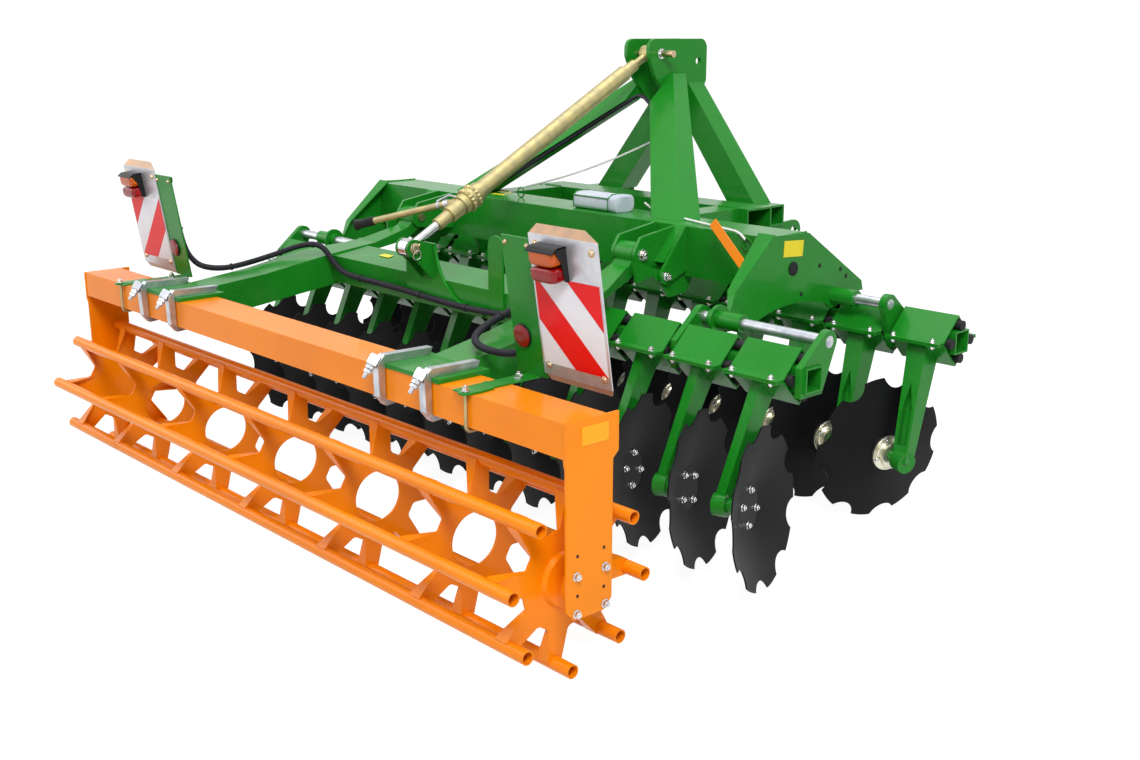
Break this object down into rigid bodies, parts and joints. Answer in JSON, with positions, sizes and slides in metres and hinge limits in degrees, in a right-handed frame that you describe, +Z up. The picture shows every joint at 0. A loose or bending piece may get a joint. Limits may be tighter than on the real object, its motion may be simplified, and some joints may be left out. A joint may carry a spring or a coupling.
{
  "type": "mounted disc harrow",
  "caption": "Tractor-mounted compact disc harrow with two rows of notched discs on rubber-sprung arms, a three-point headstock, a tube cage roller set by a turnbuckle and rear marker boards.",
  "frame": {"origin": "middle of the bounding box on the floor, parked on the roller and the front discs", "axes": "+X to the machine's right across its width, +Y towards the tractor, +Z up from the floor"},
  "size_m": [3.1678, 2.454, 1.6108],
  "materials": {
    "green_paint": "gloss",
    "orange_paint": "gloss",
    "black_paint": "satin",
    "galvanised": "satin",
    "yellow_zinc": "satin",
    "rubber": "matte",
    "board_aluminium": "satin",
    "lamp_plastic": "gloss",
    "grey_plastic": "matte",
    "black_plastic": "matte"
  },
  "bodies": {
    "main_frame": {"side_plates": "green_paint", "cross_beam": "green_paint", "front_frame": "green_paint", "headstock_ears": "green_paint", "headstock_struts": "green_paint", "hitch_brackets": "green_paint", "pivot_ears": "green_paint", "frame_pins": "yellow_zinc", "document_box": "grey_plastic", "depth_pointer": "orange_paint"},
    "rear_row": {"rear_row_beam": "green_paint", "rear_shafts": "galvanised", "rear_rubber_cords": "rubber", "rear_arms": "green_paint"},
    "front_row": {"front_row_beam": "green_paint", "front_shafts": "galvanised", "front_rubber_cords": "rubber", "front_arms": "green_paint"},
    "roller_frame": {"roller_beam": "orange_paint", "roller_end_plates": "orange_paint", "roller_arms": "green_paint", "cross_member": "green_paint", "eye_clevis": "green_paint", "lower_pin": "yellow_zinc", "hook_clamps": "galvanised", "marker_boards": "board_aluminium", "board_brackets": "green_paint", "lamps": "lamp_plastic", "lamp_conduit": "black_plastic"},
    "roller": {"roller_bars": "orange_paint", "roller_stars": "orange_paint"},
    "turnbuckle": {"turnbuckle_upper_eye": "yellow_zinc", "turnbuckle_sleeve": "yellow_zinc", "ratchet_lever": "yellow_zinc"},
    "turnbuckle_rod": {"turnbuckle_lower_eye": "yellow_zinc"},
    "rear_disc_01": {"rear_disc_01": "black_paint"},
    "rear_disc_02": {"rear_disc_02": "black_paint"},
    "rear_disc_03": {"rear_disc_03": "black_paint"},
    "rear_disc_04": {"rear_disc_04": "black_paint"},
    "rear_disc_05": {"rear_disc_05": "black_paint"},
    "rear_disc_06": {"rear_disc_06": "black_paint"},
    "rear_disc_07": {"rear_disc_07": "black_paint"},
    "rear_disc_08": {"rear_disc_08": "black_paint"},
    "rear_disc_09": {"rear_disc_09": "black_paint"},
    "rear_disc_10": {"rear_disc_10": "black_paint"},
    "rear_disc_11": {"rear_disc_11": "black_paint"},
    "rear_disc_12": {"rear_disc_12": "black_paint"},
    "front_disc_01": {"front_disc_01": "black_paint"},
    "front_disc_02": {"front_disc_02": "black_paint"},
    "front_disc_03": {"front_disc_03": "black_paint"},
    "front_disc_04": {"front_disc_04": "black_paint"},
    "front_disc_05": {"front_disc_05": "black_paint"},
    "front_disc_06": {"front_disc_06": "black_paint"},
    "front_disc_07": {"front_disc_07": "black_paint"},
    "front_disc_08": {"front_disc_08": "black_paint"},
    "front_disc_09": {"front_disc_09": "black_paint"},
    "front_disc_10": {"front_disc_10": "black_paint"},
    "front_disc_11": {"front_disc_11": "black_paint"},
    "front_disc_12": {"front_disc_12": "black_paint"}
  },
  "joints": [
    {"name": "rear_row_slide", "type": "slide", "parent": "main_frame", "child": "rear_row", "axis": [1, 0, 0], "range_m": [-0.12, 0.025]},
    {"name": "front_row_slide", "type": "slide", "parent": "main_frame", "child": "front_row", "axis": [1, 0, 0], "range_m": [-0.08, 0.07]},
    {"name": "roller_frame_hinge", "type": "hinge", "parent": "main_frame", "child": "roller_frame", "pos_m": [-0.066, 0.09104, 0.91747], "axis": [1, 0, 0], "range_deg": [-4, 5]},
    {"name": "roller_spin", "type": "hinge", "parent": "roller_frame", "child": "roller", "pos_m": [-0.066, -0.962, 0.26522], "axis": [1, 0, 0], "continuous": true},
    {"name": "turnbuckle_hinge", "type": "hinge", "parent": "main_frame", "child": "turnbuckle", "pos_m": [-0.066, 0.88252, 1.54929], "axis": [1, 0, 0], "range_deg": [-1.3, 1.6]},
    {"name": "turnbuckle_screw_slide", "type": "slide", "parent": "turnbuckle", "child": "turnbuckle_rod", "axis": [0, -0.9035, -0.4287], "range_m": [-0.017, 0.021]},
    {"name": "rear_disc_01_spin", "type": "hinge", "parent": "rear_row", "child": "rear_disc_01", "pos_m": [1.369, -0.31466, 0.28913], "axis": [-0.9465, -0.3169, -0.0609], "continuous": true},
    {"name": "rear_disc_02_spin", "type": "hinge", "parent": "rear_row", "child": "rear_disc_02", "pos_m": [1.119, -0.31466, 0.28913], "axis": [-0.9465, -0.3169, -0.0609], "continuous": true},
    {"name": "rear_disc_03_spin", "type": "hinge", "parent": "rear_row", "child": "rear_disc_03", "pos_m": [0.869, -0.31466, 0.28913], "axis": [-0.9465, -0.3169, -0.0609], "continuous": true},
    {"name": "rear_disc_04_spin", "type": "hinge", "parent": "rear_row", "child": "rear_disc_04", "pos_m": [0.619, -0.31466, 0.28913], "axis": [-0.9465, -0.3169, -0.0609], "continuous": true},
    {"name": "rear_disc_05_spin", "type": "hinge", "parent": "rear_row", "child": "rear_disc_05", "pos_m": [0.369, -0.31466, 0.28913], "axis": [-0.9465, -0.3169, -0.0609], "continuous": true},
    {"name": "rear_disc_06_spin", "type": "hinge", "parent": "rear_row", "child": "rear_disc_06", "pos_m": [0.119, -0.31466, 0.28913], "axis": [-0.9465, -0.3169, -0.0609], "continuous": true},
    {"name": "rear_disc_07_spin", "type": "hinge", "parent": "rear_row", "child": "rear_disc_07", "pos_m": [-0.131, -0.31466, 0.28913], "axis": [-0.9465, -0.3169, -0.0609], "continuous": true},
    {"name": "rear_disc_08_spin", "type": "hinge", "parent": "rear_row", "child": "rear_disc_08", "pos_m": [-0.381, -0.31466, 0.28913], "axis": [-0.9465, -0.3169, -0.0609], "continuous": true},
    {"name": "rear_disc_09_spin", "type": "hinge", "parent": "rear_row", "child": "rear_disc_09", "pos_m": [-0.631, -0.31466, 0.28913], "axis": [-0.9465, -0.3169, -0.0609], "continuous": true},
    {"name": "rear_disc_10_spin", "type": "hinge", "parent": "rear_row", "child": "rear_disc_10", "pos_m": [-0.881, -0.31466, 0.28913], "axis": [-0.9465, -0.3169, -0.0609], "continuous": true},
    {"name": "rear_disc_11_spin", "type": "hinge", "parent": "rear_row", "child": "rear_disc_11", "pos_m": [-1.131, -0.31466, 0.28913], "axis": [-0.9465, -0.3169, -0.0609], "continuous": true},
    {"name": "rear_disc_12_spin", "type": "hinge", "parent": "rear_row", "child": "rear_disc_12", "pos_m": [-1.381, -0.31466, 0.28913], "axis": [-0.9465, -0.3169, -0.0609], "continuous": true},
    {"name": "front_disc_01_spin", "type": "hinge", "parent": "front_row", "child": "front_disc_01", "pos_m": [1.504, 0.45914, 0.24589], "axis": [0.9465, -0.3169, -0.0609], "continuous": true},
    {"name": "front_disc_02_spin", "type": "hinge", "parent": "front_row", "child": "front_disc_02", "pos_m": [1.254, 0.45914, 0.24589], "axis": [0.9465, -0.3169, -0.0609], "continuous": true},
    {"name": "front_disc_03_spin", "type": "hinge", "parent": "front_row", "child": "front_disc_03", "pos_m": [1.004, 0.45914, 0.24589], "axis": [0.9465, -0.3169, -0.0609], "continuous": true},
    {"name": "front_disc_04_spin", "type": "hinge", "parent": "front_row", "child": "front_disc_04", "pos_m": [0.754, 0.45914, 0.24589], "axis": [0.9465, -0.3169, -0.0609], "continuous": true},
    {"name": "front_disc_05_spin", "type": "hinge", "parent": "front_row", "child": "front_disc_05", "pos_m": [0.504, 0.45914, 0.24589], "axis": [0.9465, -0.3169, -0.0609], "continuous": true},
    {"name": "front_disc_06_spin", "type": "hinge", "parent": "front_row", "child": "front_disc_06", "pos_m": [0.254, 0.45914, 0.24589], "axis": [0.9465, -0.3169, -0.0609], "continuous": true},
    {"name": "front_disc_07_spin", "type": "hinge", "parent": "front_row", "child": "front_disc_07", "pos_m": [0.004, 0.45914, 0.24589], "axis": [0.9465, -0.3169, -0.0609], "continuous": true},
    {"name": "front_disc_08_spin", "type": "hinge", "parent": "front_row", "child": "front_disc_08", "pos_m": [-0.246, 0.45914, 0.24589], "axis": [0.9465, -0.3169, -0.0609], "continuous": true},
    {"name": "front_disc_09_spin", "type": "hinge", "parent": "front_row", "child": "front_disc_09", "pos_m": [-0.496, 0.45914, 0.24589], "axis": [0.9465, -0.3169, -0.0609], "continuous": true},
    {"name": "front_disc_10_spin", "type": "hinge", "parent": "front_row", "child": "front_disc_10", "pos_m": [-0.746, 0.45914, 0.24589], "axis": [0.9465, -0.3169, -0.0609], "continuous": true},
    {"name": "front_disc_11_spin", "type": "hinge", "parent": "front_row", "child": "front_disc_11", "pos_m": [-0.996, 0.45914, 0.24589], "axis": [0.9465, -0.3169, -0.0609], "continuous": true},
    {"name": "front_disc_12_spin", "type": "hinge", "parent": "front_row", "child": "front_disc_12", "pos_m": [-1.246, 0.45914, 0.24589], "axis": [0.9465, -0.3169, -0.0609], "continuous": true}
  ],
  "couplings": [
    {"joint": "turnbuckle_hinge", "follows": "roller_frame_hinge", "ratio": 0.30811},
    {"joint": "turnbuckle_screw_slide", "follows": "roller_frame_hinge", "m_per_rad": 0.22761}
  ]
}
